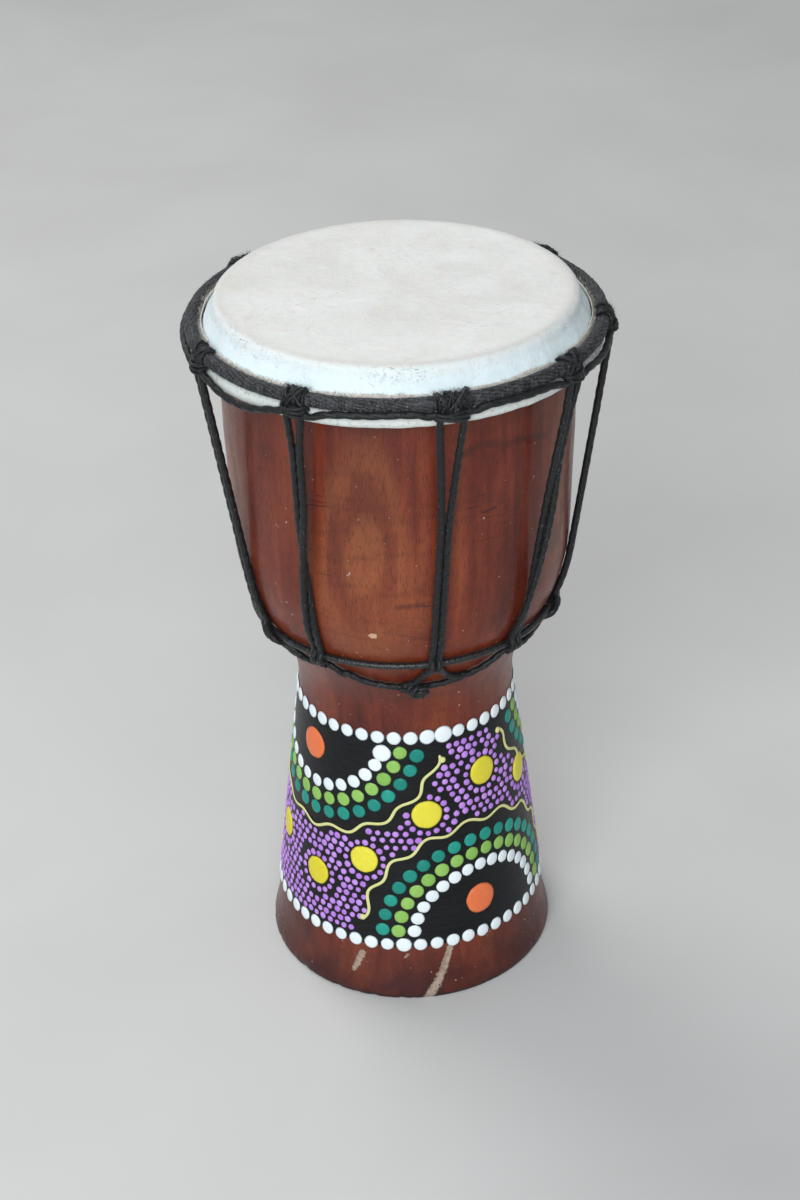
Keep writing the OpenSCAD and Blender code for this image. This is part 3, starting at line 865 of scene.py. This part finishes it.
def hide_midline():
    """The hide's middle line from its centre to its hem, as (r, z, normal r, normal z)."""
    face_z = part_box("drumhead")[1].z - HIDE_THICK / 2
    fold = hoop_section + 0.1 * MM + HIDE_THICK / 2
    face = [(TURN_R * t, face_z) for t in (0.0, 0.1, 0.2, 0.35, 0.5, 0.65, 0.8, 0.9, 1.0)]
    corner = [(TURN_R + TURN * sin(radians(a)), TURN_Z + TURN * cos(radians(a)))
              for a in range(9, 66, 8)]
    wrap = [(hoop_path_r + fold * cos(radians(a)), hoop_z + fold * sin(radians(a)))
            for a in range(195, 406, 15)]
    skirt, hem = ([(r * MM, z * MM) for r, z in stretch] for stretch in (SKIRT, HEM))
    bend = [face[-1]] + corner + skirt + [(hoop_path_r - fold, hoop_z)] + wrap + hem
    line = dense(face, 2.6 * MM)[:-1] + dense(bend, 0.7 * MM)
    made = []
    for i, (r, z) in enumerate(line):
        a, b = line[max(0, i - 1)], line[min(len(line) - 1, i + 1)]
        along = Vector((b[0] - a[0], b[1] - a[1])).normalized()
        made.append((r, z, -along.y, along.x))
    return made


def hem_height(angle):
    """How far the uneven cut of the hem rises or falls at an angle."""
    return (0.7 * ripple(angle, 7, 0, 14) + 0.4 * ripple(angle, 24, 0, 16) - knot_press(angle, 2.3)) * MM


def build_hide():
    """The hide as one sheet: down over the rim, round the hoop and up to an uneven hem."""
    columns = 320
    line = hide_midline()
    run = running_length([p[:2] for p in line])
    points = []
    marks = []
    order = list(range(1, len(line)))
    for i, side in [(i, 1) for i in order] + [(i, -1) for i in reversed(order)]:
        r, z, nr, nz = line[i]
        beyond = (r - TURN_R) / MM
        past_edge = share_of(beyond / 4)
        hem = max(0.0, (run[i] - run[-1] + HEM_TALL) / HEM_TALL)
        flow = run[i] / (14 * MM)
        # Where the face's corner is soiled and painted darker as shade.
        edge = exp(-((beyond - 0.8) / 1.1) ** 2) * (z > 290 * MM)
        rub = exp(-((beyond - 2.3) / 1.7) ** 2) * (run[i] < 85 * MM)
        for k in range(columns):
            angle = 360 * k / columns
            lift = 0.14 * ripple(angle, r / (25 * MM), 0, 10) * (1 - past_edge)
            pleat = 0.26 * ripple(angle, 13, flow * 0.35, 11) + 0.08 * ripple(angle, 45, flow, 12)
            lift += past_edge * (pleat + 0.1)
            half = HIDE_THICK / 2 * (1 + 0.12 * ripple(angle, 12, flow, 13))
            out = lift * MM * (1 - 0.7 * hem) + side * half * (1.0 - 0.75 * hem * hem)
            points.append(at(angle, r + nr * out, z + nz * out + hem * hem * hem_height(angle)))
            patch = 0.7 * max(0.0, ripple(angle, 2.6, 0.4, 15) * 2 + 0.25)
            rubbed = rub * min(1.0, patch + spot(angle, 0, [(5, 0, 6, 1), (-62, 0, 22, 1)]))
            # Marks: skirt (painted brighter and bluer as lit), edge (soiling and painted shade along the
            # corner), rubbed, hem and band.
            marks.append((past_edge * (1 - min(1.0, hem * 1.2)), edge, rubbed,
                          share_of(hem * 2 - 1), float(r > 73.5 * MM and z < 290 * MM)))
    count = 2 * len(order)
    top = len(points)
    for side in (1, -1):
        points.append(Vector((0, 0, line[0][1] + side * HIDE_THICK / 2)))
        marks.append((0.0,) * 5)
    faces = grid_faces(count, columns)
    faces += [((k + 1) % columns, k, top) for k in range(columns)]
    last = (count - 1) * columns
    faces += [(last + k, last + (k + 1) % columns, top + 1) for k in range(columns)]
    labels = ("skirt", "edge", "rubbed", "hem", "band")
    piece = add_piece("hide", points, faces, HIDE, dict(zip(labels, zip(*marks))), "drumhead")


def build_fringe():
    """Loose fibres along the cut of the hem."""
    heap = Heap()
    for _ in range(2600):
        angle = uniform(0, 360)
        root = at(angle, uniform(73.7, 75.0) * MM, uniform(290.0, 291.5) * MM + hem_height(angle))
        lean = at(angle + uniform(-80, 80), 1, 0) * uniform(-0.1, 1.5)
        fibre(heap, root, Vector((lean.x, lean.y, uniform(0.6, 1.3))), uniform(0.8, 2.6) * MM,
              0.05 * MM, at(uniform(0, 360), 0.5 * MM, -0.3 * MM), chance.random())
    heap.piece("hem_fibres", FRINGE, "goat_hide")


# ---- Rings and knots ----


def ring_point(angle, around, reach):
    """A point at an angle round the crown ring's section and a distance from its middle."""
    return at(angle, crown_r + reach * cos(around), crown_z + reach * sin(around))


def ring_fibre(heap, angle, sector, reach, sway, length, width, curl, tone=None):
    """A hair that stands off the crown ring, somewhere in a sector of its section."""
    around = radians(uniform(*sector))
    away = at(angle, cos(around), sin(around))
    stray = at(angle + 90, 1, 0) * uniform(-sway, sway)
    fibre(heap, ring_point(angle, around, reach), away + stray, uniform(*length) * MM, width,
          at(uniform(0, 360), curl, 0), chance.random() if tone is None else tone)


def build_ring(name, node, rows, columns, material, surface):
    """A closed ring of cloth. surface gives its section's radius and its shade at a place on it."""
    path_r, path_z, _ = tube_path(node)
    points, tones = [], []
    for i in range(rows):
        angle = 360 * i / rows
        for k in range(columns):
            around = 2 * pi * k / columns
            r, tone = surface(angle, around)
            points.append(at(angle, path_r + r * cos(around), path_z + r * sin(around)))
            tones.append(tone)
    faces = grid_faces(rows, columns, close_rows=True)
    add_piece(name, points, faces, material, {"tone": tones}, node)


def frayed_yarns(angle, around):
    """Yarns side by side that turn slowly round the crown ring."""
    yarns = 11
    turn = 9 * radians(angle) + 1.2 * ripple(angle, 5, 0, 20)
    yarn = abs(cos(yarns / 2 * (around + turn) + 0.5 * ripple(angle, 30, 0, 22)))
    fray = ripple(angle, 120, 4 * cos(around), 23)
    lump = ripple(angle, 34, 2 * cos(around), 24)
    rise = 0.05 - 0.24 * (1 - yarn) ** 1.4 + 0.14 * fray + 0.16 * lump
    section = crown_section * (1 + 0.07 * ripple(angle, 9, 0, 21))
    # Painted shade and highlight: the tone is darker in the grooves between yarns and lighter on their
    # crests, frays and lumps.
    return section + rise * MM, 0.15 + 0.35 * yarn + 0.5 * fray + 0.25 * lump


def wound_tape(angle, around):
    """Tape wound round the waist ring, each turn of it over the edge of the one before."""
    turns = round(2 * pi * waist_r / (2.6 * MM))
    share = around / (2 * pi)
    phase = (angle / 360 * turns + share + 2.6 * ripple(angle, 9, 0, 30)) % 1
    lip = phase ** 1.5 if phase < 0.88 else (1 - phase) / 0.12 * 0.826
    fuzz = 0.8 * ripple(angle, 130, share * 6, 32)
    section = (waist_section + 0.08 * MM) * (1 + 0.05 * ripple(angle, 11, 0, 31))
    # Painted shade and highlight: the tone is darker where a turn tucks under the one before and lighter on
    # its raised lip.
    return section + 0.15 * MM * (lip - 0.55 + fuzz), 0.25 + 0.5 * lip


def build_crown_fuzz():
    """Loose fibres that stand off the crown ring's cloth, and pale lint that lies on it."""
    heap = Heap()
    for _ in range(6000):
        angle = uniform(0, 360)
        if chance.random() <= 0.55 + ripple(angle, 6, 0, 25):
            ring_fibre(heap, angle, (-100, 160), crown_section - 0.15 * MM, 1.6, (0.4, 1.6),
                       0.04 * MM, 0.4 * MM)
    heap.piece("crown_ring_fibres", CLOTH, "black_cloth")
    heap = Heap()
    for _ in range(760):
        angle = chance.gauss(-4, 16) if chance.random() < 0.5 else uniform(0, 360)
        around = radians(uniform(-50, 120))
        away = at(angle, cos(around), sin(around))
        reach = crown_section + (1.25 if knot_press(angle, 2.4) > 0.4 else 0.02) * MM
        fibre(heap, ring_point(angle, around, reach), at(angle + 90, 1, 0) + away * 0.15,
              uniform(0.3, 1.1) * MM, 0.055 * MM, away * 0.1 * MM, chance.random())
    heap.piece("crown_ring_lint", LINT, "black_cloth")


def build_knot(i):
    """A lace's hitch: wraps side by side round the crown ring, crossed over, bound below it."""
    thin = 0.72 * MM
    cord = {"spacing": 0.5 * MM, "lay": 4.5 * MM, "depth": 0.3, "columns": 12}
    first, second = HITCHES[i]
    middle, half = (first + second) / 2, (second - first) / 2 + 1.3
    wraps = max(6, round(2 * radians(half) * crown_r / (1.25 * MM)))
    heap = Heap()
    for n in range(wraps + 3):
        crossing = n >= wraps
        spread = uniform(-0.5, 0.5) if crossing else 2 * (n + 0.5) / wraps - 1
        place = middle + half * spread + uniform(-0.25, 0.25)
        lean = chance.choice((-1, 1)) * half * 0.7 if crossing else uniform(-1.6, 1.6)
        reach = crown_section + thin * (1.7 if crossing else 0.7) + uniform(-0.2, 0.35) * MM
        path = []
        for step in range(22):
            around = radians(-100 + 250 * step / 21)
            r = reach * (0.86 if step > 17 else 1.0) + 0.25 * MM * wobble(step * 0.4, n, i)
            path.append(ring_point(place + lean * sin(around - 0.4), around, r))
        rope(heap, path, thin, tip=1.2 * MM, seed=i + 7 * n, tone=uniform(0.2, 0.9), **cord)
    for n, (height, way) in enumerate(((-2.6, 1), (-3.4, -1), (-4.2, 1), (-4.9, -1))):
        path = []
        for step in range(17):
            t = step / 16 * 2 - 1
            out = 1.2 + 3.9 * sqrt(max(0.0, 1 - t * t)) + 0.3 * (n % 2)
            up = height + way * 0.8 * t
            path.append(at(middle + t * (half + 0.2), crown_r + out * MM, crown_z + up * MM))
        rope(heap, path, thin, tip=1.5 * MM, seed=i + 20 + n, tone=uniform(0.2, 0.9), **cord)
    for _ in range(460):
        angle = middle + uniform(-1, 1) * (half + 0.3)
        ring_fibre(heap, angle, (-95, 135), crown_section + 1.3 * thin, 1.4, (0.5, 2.3),
                   0.045 * MM, 0.6 * MM, 0.7)
    heap.piece(f"crown_hitches_{i}", CORD, "black_cord", f"crown_knot_{i}")


def centreline(points, count, closed=False):
    """A tube's middle points as (angle, r, z), from its vertices gathered in even steps of angle."""
    angles = np.array([angle_of(x, y) for x, y, _ in points])
    if closed:
        angles = angles % 360
    else:
        middle = angle_of(*points[:, :2].mean(0))
        angles = turn_between(angles, middle) + middle
    radii = np.hypot(points[:, 0], points[:, 1])
    edges = np.linspace(angles.min(), angles.max(), count + 1)
    made = []
    for low, high in zip(edges, edges[1:]):
        inside = (angles >= low) & (angles <= high)
        if inside.sum() >= 4:
            r, z = radii[inside], points[inside, 2]
            made.append((float(angles[inside].mean()), float((r.min() + r.max()) / 2),
                         float((z.min() + z.max()) / 2)))
    return made


LOOP_R = 1.45 * MM
# How much higher a loop's start and end lie than in the plain CAD cord, where they hug the ring
LOOP_LIFTS = {2: (0.0, 1.9 * MM), 3: (1.9 * MM, 0.6 * MM)}


def build_crown_loop(i):
    """The cord from one hitch to the next, tucked into both."""
    line = centreline(node_points(f"crown_loop_{i}"), 11)
    start, end = LOOP_LIFTS.get(i, (0.0, 0.0))
    steps = len(line) - 1
    line = [(a, r, z + start * (1 - k / steps) ** 3 + end * (k / steps) ** 3)
            for k, (a, r, z) in enumerate(line)]
    tucks = [(a + way * 2.6, r, z + 0.9 * MM) for (a, r, z), way in ((line[0], -1), (line[-1], 1))]
    heap = Heap()
    path = rope(heap, [at(*p) for p in [tucks[0]] + line + [tucks[1]]], LOOP_R, lay=13 * MM, depth=0.24,
                tip=1.5 * MM, seed=i * 3, tone=0.4)
    lint(heap, path, LOOP_R, 70, 1.1 * MM)
    heap.piece(f"crown_cord_{i}", CORD, "black_cord", f"crown_loop_{i}")


# ---- Laces ----

CORD_R = 1.45 * MM
TIE_R = 1.35 * MM
tie_line = centreline(node_points("waist_tie"), 80, closed=True)
# How far down each pair of strands meets, as a share, and how many turns they make after that
MEETS = [0.14, 0.36, 0.74, 0.30, 0.20, 0.5, 0.6, 0.45, 0.55]
TURNS = [0.0, 0.5, 0.0, 0.5, 0.0, 0.5, 0.0, 1.0, 0.5]
# Where a pair's two strands reach the tie cord, in degrees from its foot. At the sides of the
# drum they slide forwards over the waist ring as they turn under it
REACHES = {1: (12, 15), 3: (-12, 15), 5: (-15, -12)}
SLIDING = (1, 5)


def tie_at(angle):
    """The tie cord's (radius, height) at an angle."""
    angles, radii, heights = zip(*tie_line)
    return tuple(float(np.interp(angle % 360, angles, values, period=360)) for values in (radii, heights))


def lace_ends(lace):
    """The radius and height at the top of a lace's pair, and its foot's angle."""
    points = node_points(f"lace_{lace}")
    high, low = points[:, 2].max(), points[:, 2].min()
    top = points[points[:, 2] > high - 3 * MM]
    foot = points[points[:, 2] < low + 2 * MM].mean(0)
    return float(np.hypot(top[:, 0], top[:, 1]).mean()), float(high) - 1 * MM, angle_of(foot[0], foot[1])


def strand_path(lace, side, leg):
    """A strand's way: down through the air, down the bowl, over the waist ring, to the tie cord.
    leg = the angle where it reaches the tie cord."""
    top_r, top_z, foot_angle = lace_ends(lace)
    top_angle, spread = sum(HITCHES[lace]) / 2, (HITCHES[lace][1] - HITCHES[lace][0]) / 2
    turn = turn_between(foot_angle, top_angle)
    meet, turns = MEETS[lace - 1], TURNS[lace - 1]
    touch_z, last_z, under_z = 196 * MM, waist_z + 4.5 * MM, waist_z - 2.4 * MM
    touch_r = shell_radius(touch_z) + 1.2 * CORD_R
    apart = 0.96 * CORD_R
    path = [at(top_angle + side * spread, crown_r + 2.0 * MM, crown_z - 2.6 * MM)]
    steps = 34
    for n in range(steps + 1):
        t = n / steps
        z = top_z + (last_z - top_z) * t
        air = touch_r + (top_r - touch_r) * (z - touch_z) / (top_z - touch_z)
        r = max(shell_radius(z) + 1.12 * CORD_R, air if z > touch_z else 0)
        wide = max(degrees(apart / r), spread * (1 - t / meet) ** 1.3 if t < meet else 0)
        phase = 2 * pi * turns * max(0.0, (t - meet) / (1 - meet))
        out = CORD_R * 0.92 * (abs(sin(phase)) + side * sin(phase))
        path.append(at(top_angle + turn * t + side * wide * cos(phase), r + out, z))
    over = waist_section + CORD_R
    start = foot_angle + side * cos(2 * pi * turns) * degrees(apart / (waist_r + over))
    way = turn_between(leg, start)
    slide = 0.4 * way if lace in SLIDING else 0
    first_lean, last_lean = 48, -30
    for lean in (first_lean, 12, last_lean):
        a = radians(lean)
        angle = start + slide * (first_lean - lean) / (first_lean - last_lean)
        path.append(at(angle, waist_r + over * cos(a), waist_z + over * sin(a)))
    start += slide
    way -= slide
    if lace in REACHES:
        for share in (0.2, 0.4, 0.6, 0.8, 0.92, 1.04, 1.16):
            angle = start + way * share
            end_z = tie_at(angle)[1] + 0.7 * TIE_R * (share < 1)
            z = under_z + (end_z - under_z) * (1 - (1 - min(1, share)) ** 2.2)
            path.append(at(angle, shell_radius(z) + (1.15 if share < 1 else 0.75) * CORD_R, z))
    else:
        for share in (0.4, 0.8, 1.0, 1.25):
            z = under_z + (tie_at(leg)[1] - under_z) * share
            r = shell_radius(z) + (1.1 if share < 0.9 else 0.9) * CORD_R
            path.append(at(start + way * min(1, share), r, z))
    return path


def tie_collar(heap, angle, seed):
    """Two turns of thin cord round the tie cord where a lace is caught up."""
    tie_r, tie_z = tie_at(angle)
    along = (at(angle + 2, *tie_at(angle + 2)) - at(angle - 2, *tie_at(angle - 2))).normalized()
    out = at(angle, 1, 0.45).normalized()
    up = along.cross(out).normalized()
    centre = at(angle, tie_r, tie_z)
    thin = 0.7 * MM
    r = TIE_R + 0.35 * thin
    for n in (-1, 1):
        ring = []
        for k in range(12):
            a = 2 * pi * k / 12
            ring.append(centre + along * ((n * 0.75 + 0.5 * sin(a)) * MM)
                        + out * (r * cos(a) + 0.25 * MM) + up * (r * sin(a)))
        rope(heap, ring, thin, 0.45 * MM, plies=3, lay=4 * MM, depth=0.16, columns=12, closed=True,
             seed=seed + n)


def build_lace(i):
    """A pair of strands, and what holds its foot."""
    heap = Heap()
    foot_angle = lace_ends(i)[2]
    legs = [foot_angle + reach for reach in REACHES.get(i, (-0.5, 0.5))]
    if round(2 * TURNS[i - 1]) % 2:
        legs.reverse()
    for side, leg in zip((-1, 1), legs):
        path = rope(heap, strand_path(i, side, leg), CORD_R, tip=(7 if i in SLIDING else 1) * MM,
                    seed=i * 2 + side, tone=0.35)
        lint(heap, path, CORD_R, 90, 1.0 * MM)
    if i not in REACHES:
        tie_collar(heap, foot_angle, i * 5)
    heap.piece(f"lace_pair_{i}", CORD, "black_cord", f"lace_{i}")


def build_tie_cord():
    """The cord round the neck, below the waist ring."""
    heap = Heap()
    path = rope(heap, [at(*p) for p in tie_line], TIE_R, 0.6 * MM, closed=True, seed=4, tone=0.4)
    lint(heap, path, TIE_R, 260, 1.0 * MM)
    heap.piece("waist_tie_cord", CORD, "black_cord", "waist_tie")


def build_tie_knot():
    """The tie cord's knot: three tangled turns, each smaller than the last, and three short tails."""
    centre = node_points("waist_knot").mean(0)
    angle = angle_of(centre[0], centre[1])
    tie_r, tie_z = tie_at(angle)
    lean = atan2(shell_radius(tie_z - MM) - shell_radius(tie_z + MM), 2 * MM)
    out = at(angle, cos(lean), sin(lean))
    across = at(angle + 90, 1, 0)
    up = out.cross(across)
    if up.z < 0:
        up = -up
    middle = at(angle, tie_r, tie_z) + out * 1.4 * MM
    cord = {"spacing": 0.45 * MM, "lay": 8 * MM, "columns": 14}
    size = 1.3 * MM
    heap = Heap()
    for spin, shrink in ((0.0, 1.0), (1.3, 0.86), (2.4, 0.66)):
        turn = []
        for k in range(30):
            t = 2 * pi * k / 30
            x, y = sin(t) + 2 * sin(2 * t), cos(t) - 2 * cos(2 * t)
            x, y = x * cos(spin) - y * sin(spin), x * sin(spin) + y * cos(spin)
            away = across * (x * 1.05 * shrink) + up * (y * 0.86 * shrink)
            turn.append(middle + (away + out * (0.4 * spin - 0.8 * sin(3 * t))) * size)
        rope(heap, turn, 1.1 * MM, depth=0.16, closed=True, seed=50 + spin, **cord)
    for way, drop, reach in ((-1, -0.16, 7.5), (-1, 0.12, 5.6), (0.8, 0.9, 3.6)):
        tail = [middle + (across * (way * d) - up * (drop * d) + out * (0.5 - 0.10 * d)) * MM
                for d in (0.8, reach * 0.4, reach * 0.7, reach)]
        rope(heap, tail, 1.0 * MM, depth=0.16, tip=0.6 * MM, seed=51 + way, tone=0.6, **cord)
        for _ in range(16):
            stray = Vector([uniform(-1, 1) for _ in range(3)])
            fibre(heap, tail[-1], across * way - up * drop + stray * 0.6, uniform(0.6, 1.8) * MM,
                  0.07 * MM, stray * 0.4 * MM, 0.6)
    heap.piece("waist_tie_knot", CORD, "black_cord", "waist_knot")


# ---- Stage ----


def build_stage():
    look = Look("pale_floor", Roughness=0.55, IOR=1.4)
    cloud = look.noise(5, 4, 0.55, 0.4)
    look.set("Base Color", look.ramp(cloud, (0.3, (0.56, 0.555, 0.545)), (0.7, (0.61, 0.605, 0.60))))
    mesh = bpy.data.meshes.new("floor")
    half = 6.0
    mesh.from_pydata([(-half, -half, 0), (half, -half, 0), (half, half, 0), (-half, half, 0)], [],
                     [(0, 1, 2, 3)])
    mesh.materials.append(look.material)
    add_object("floor", mesh)


def add_light(name, place, target, size, power, colour):
    data = bpy.data.lights.new(name, "AREA")
    data.shape = "DISK"
    data.size = size
    data.energy = power
    data.color = colour
    light = add_object(name, data)
    light.location = place
    light.rotation_mode = "QUATERNION"
    light.rotation_quaternion = (Vector(target) - Vector(place)).to_track_quat("-Z", "Y")


def build_light():
    """A pale room, a window behind the drum and a broad soft light in front of it."""
    world = bpy.data.worlds.new("soft_room")
    world.use_nodes = True
    back = world.node_tree.nodes["Background"]
    back.inputs["Color"].default_value = (0.94, 0.97, 1.0, 1)
    back.inputs["Strength"].default_value = 0.42
    bpy.context.scene.world = world
    middle = (0, 0, DRUM_HEIGHT * 0.6)
    add_light("window", (-0.8, 1.0, 1.7), middle, 1.1, 16, (1.0, 0.99, 0.98))
    add_light("room", (-0.35, -1.6, 1.15), middle, 1.4, 31, (0.94, 0.98, 1.0))
    view = bpy.context.scene.view_settings
    view.view_transform = "Standard"
    view.look = "None"


def build_camera():
    """Above and in front of the drum, looking down at it, as the photograph does."""
    data = bpy.data.cameras.new("camera")
    data.sensor_width = 36
    data.lens = 65.94
    data.clip_start = 0.01
    data.clip_end = 30
    camera = add_object("camera", data)
    away, height = 2.551 * DRUM_HEIGHT, 2.1166 * DRUM_HEIGHT
    down, aside, roll = 0.554, 0.002, -0.026
    tilt = Euler((pi / 2 - down, 0, aside)).to_matrix() @ Matrix.Rotation(roll, 3, "Z")
    camera.matrix_world = Matrix.Translation((0, -away, height)) @ tilt.to_4x4()
    bpy.context.scene.camera = camera


build_camera()
build_shell()
build_band()
for colour, shape in DOTS.items():
    build_dots(colour, *shape)
build_lines()
build_hide()
build_fringe()
build_ring("crown_ring_cloth", "crown_wrap", 1300, 66, CLOTH, frayed_yarns)
build_crown_fuzz()
for builder in (build_knot, build_crown_loop, build_lace):
    for number in range(1, LACES + 1):
        builder(number)
build_ring("waist_ring_tape", "waist_wrap", 1900, 16, TAPE, wound_tape)
build_tie_cord()
build_tie_knot()
build_stage()
build_light()
